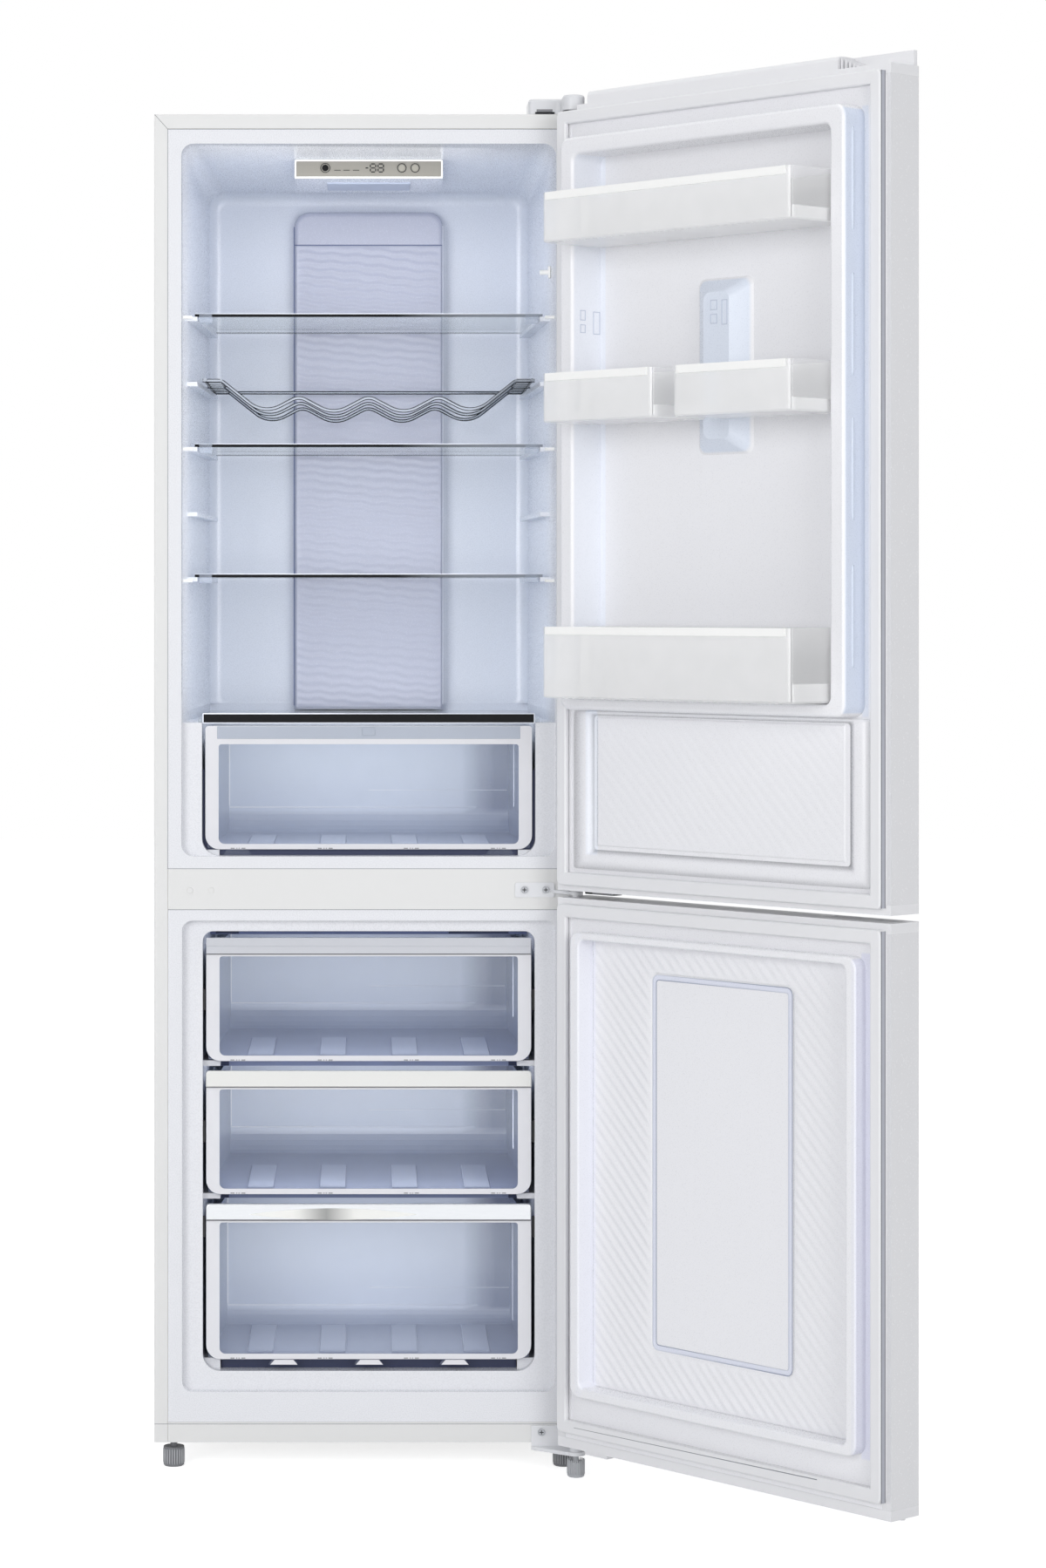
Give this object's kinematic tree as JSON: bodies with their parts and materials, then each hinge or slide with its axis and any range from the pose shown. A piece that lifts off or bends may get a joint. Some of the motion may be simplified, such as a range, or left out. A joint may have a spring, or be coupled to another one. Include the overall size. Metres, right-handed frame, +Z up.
{
  "type": "bottom freezer refrigerator",
  "caption": "Tall white refrigerator over a freezer, both doors hinged on the right and standing open, with glass shelves, a wire bottle rack, door bins, a crisper and freezer drawers.",
  "frame": {"origin": "on the floor, under the middle of the cabinet's front face", "axes": "+X to the viewer's right, +Y into the cabinet, +Z up"},
  "size_m": [0.9968, 1.0735, 1.907],
  "materials": {
    "shell_white": "satin powder coat, white",
    "door_white": "smooth gloss paint, white",
    "back_steel": "plain galvanised and painted sheet",
    "liner_white": "vacuum-formed sheet, soft gloss, white",
    "foam": "rigid poured foam",
    "duct_upper": "smooth moulding",
    "duct_lower": "wavy embossed panel, pale blue",
    "fascia_taupe": "dark panel with a fine light frame",
    "lens_frosted": "frosted",
    "shelf_glass": "clear, greenish edge",
    "trim_white": "smooth white",
    "rack_chrome": "bright chromed wire",
    "trim_black": "dark strip, gloss",
    "coil_aluminium": "plain fins and tube",
    "motor_grey": "moulded",
    "compressor_black": "black enamel",
    "pipe_steel": "coated tube",
    "tray_black": "moulded",
    "rubber_black": "matte",
    "hinge_grey": "zinc grey",
    "hinge_white": "light grey paint",
    "cap_grey": "mid grey moulding",
    "screw_steel": "zinc plated",
    "gasket_white": "soft vinyl, pale grey",
    "bin_clear": "clear moulding",
    "crisper_clear": "clear moulding, pale blue",
    "drawer_clear": "frosted clear moulding",
    "band_chrome": "bright band",
    "button_black": "gloss black",
    "button_dark": "satin, light ring",
    "foot_dark": "dark moulding",
    "foot_grey": "grey moulding"
  },
  "bodies": {
    "cabinet": {"outer_shell": "shell_white", "back_panel": "back_steel", "base_frame": "shell_white", "cabinet_foam": "foam", "fridge_liner": "liner_white", "freezer_liner": "liner_white", "mullion_strip": "shell_white", "duct_cover_upper": "duct_upper", "duct_cover_lower": "duct_lower", "control_housing": "liner_white", "control_fascia": "fascia_taupe", "lamp_lens": "lens_frosted", "glass_shelves": "shelf_glass", "shelf_brackets": "trim_white", "wine_rack": "rack_chrome", "crisper_cover_glass": "shelf_glass", "crisper_cover_trim": "trim_black", "evaporator_cover": "liner_white", "evaporator": "coil_aluminium", "fan_motor": "motor_grey", "compressor": "compressor_black", "condenser": "pipe_steel", "drain_tray": "tray_black", "rubber_grommets": "rubber_black", "top_hinge": "hinge_grey", "top_hinge_cover": "cap_grey", "middle_hinge": "hinge_white", "bottom_hinge": "hinge_grey", "screws": "screw_steel", "temperature_sensor": "trim_white"},
    "upper_door": {"upper_door_skin": "door_white", "upper_door_top_cap": "cap_grey", "upper_door_bottom_cap": "cap_grey", "upper_door_liner": "liner_white", "upper_door_foam": "foam", "upper_door_gasket": "gasket_white", "bins_full": "bin_clear", "bins_half": "bin_clear", "bin_strips": "trim_white"},
    "lower_door": {"lower_door_skin": "door_white", "lower_door_top_cap": "cap_grey", "lower_door_bottom_cap": "cap_grey", "lower_door_liner": "liner_white", "lower_door_foam": "foam", "lower_door_gasket": "gasket_white"},
    "crisper": {"crisper_drawer": "crisper_clear"},
    "drawer_top": {"freezer_drawer_top": "drawer_clear"},
    "drawer_middle": {"freezer_drawer_middle": "drawer_clear", "drawer_band_middle": "band_chrome"},
    "drawer_bottom": {"freezer_drawer_bottom": "drawer_clear", "drawer_band_bottom": "band_chrome"},
    "left_button": {"button_left": "button_black"},
    "middle_button": {"button_middle": "button_dark"},
    "right_button": {"button_right": "button_dark"},
    "fan": {"fan_rotor": "motor_grey"},
    "left_foot": {"foot_front_left": "foot_dark"},
    "right_foot": {"foot_front_right": "foot_dark"},
    "hinge_foot": {"foot_hinge": "foot_grey"},
    "left_roller": {"rear_roller_left": "foot_dark"},
    "right_roller": {"rear_roller_right": "foot_dark"}
  },
  "joints": [
    {"name": "upper_door_hinge", "type": "hinge", "parent": "cabinet", "child": "upper_door", "pos_m": [0.2855, -0.0348, 0], "axis": [0, 0, 1], "range_deg": [-132, 3]},
    {"name": "lower_door_hinge", "type": "hinge", "parent": "cabinet", "child": "lower_door", "pos_m": [0.2855, -0.0348, 0], "axis": [0, 0, 1], "range_deg": [-132, 3]},
    {"name": "crisper_slide", "type": "slide", "parent": "cabinet", "child": "crisper", "axis": [0, -1, 0], "range_m": [0, 0.28]},
    {"name": "top_drawer_slide", "type": "slide", "parent": "cabinet", "child": "drawer_top", "axis": [0, -1, 0], "range_m": [0, 0.3]},
    {"name": "middle_drawer_slide", "type": "slide", "parent": "cabinet", "child": "drawer_middle", "axis": [0, -1, 0], "range_m": [0, 0.3]},
    {"name": "bottom_drawer_slide", "type": "slide", "parent": "cabinet", "child": "drawer_bottom", "axis": [0, -1, 0], "range_m": [0, 0.19]},
    {"name": "left_button_press", "type": "slide", "parent": "cabinet", "child": "left_button", "axis": [0, 1, 0], "range_m": [0, 0.001], "stiffness_N_per_m": 400},
    {"name": "middle_button_press", "type": "slide", "parent": "cabinet", "child": "middle_button", "axis": [0, 1, 0], "range_m": [0, 0.001], "stiffness_N_per_m": 400},
    {"name": "right_button_press", "type": "slide", "parent": "cabinet", "child": "right_button", "axis": [0, 1, 0], "range_m": [0, 0.001], "stiffness_N_per_m": 400},
    {"name": "fan_spin", "type": "hinge", "parent": "cabinet", "child": "fan", "pos_m": [0, 0.46, 0.652], "axis": [0, 1, 0], "continuous": true},
    {"name": "left_foot_turn", "type": "hinge", "parent": "cabinet", "child": "left_foot", "pos_m": [-0.272, 0.035, 0], "axis": [0, 0, 1], "continuous": true},
    {"name": "right_foot_turn", "type": "hinge", "parent": "cabinet", "child": "right_foot", "pos_m": [0.272, 0.035, 0], "axis": [0, 0, 1], "continuous": true},
    {"name": "hinge_foot_turn", "type": "hinge", "parent": "cabinet", "child": "hinge_foot", "pos_m": [0.2855, -0.0348, 0], "axis": [0, 0, 1], "continuous": true},
    {"name": "left_roller_roll", "type": "hinge", "parent": "cabinet", "child": "left_roller", "pos_m": [-0.262, 0.52, 0.018], "axis": [1, 0, 0], "continuous": true},
    {"name": "right_roller_roll", "type": "hinge", "parent": "cabinet", "child": "right_roller", "pos_m": [0.262, 0.52, 0.018], "axis": [1, 0, 0], "continuous": true}
  ]
}
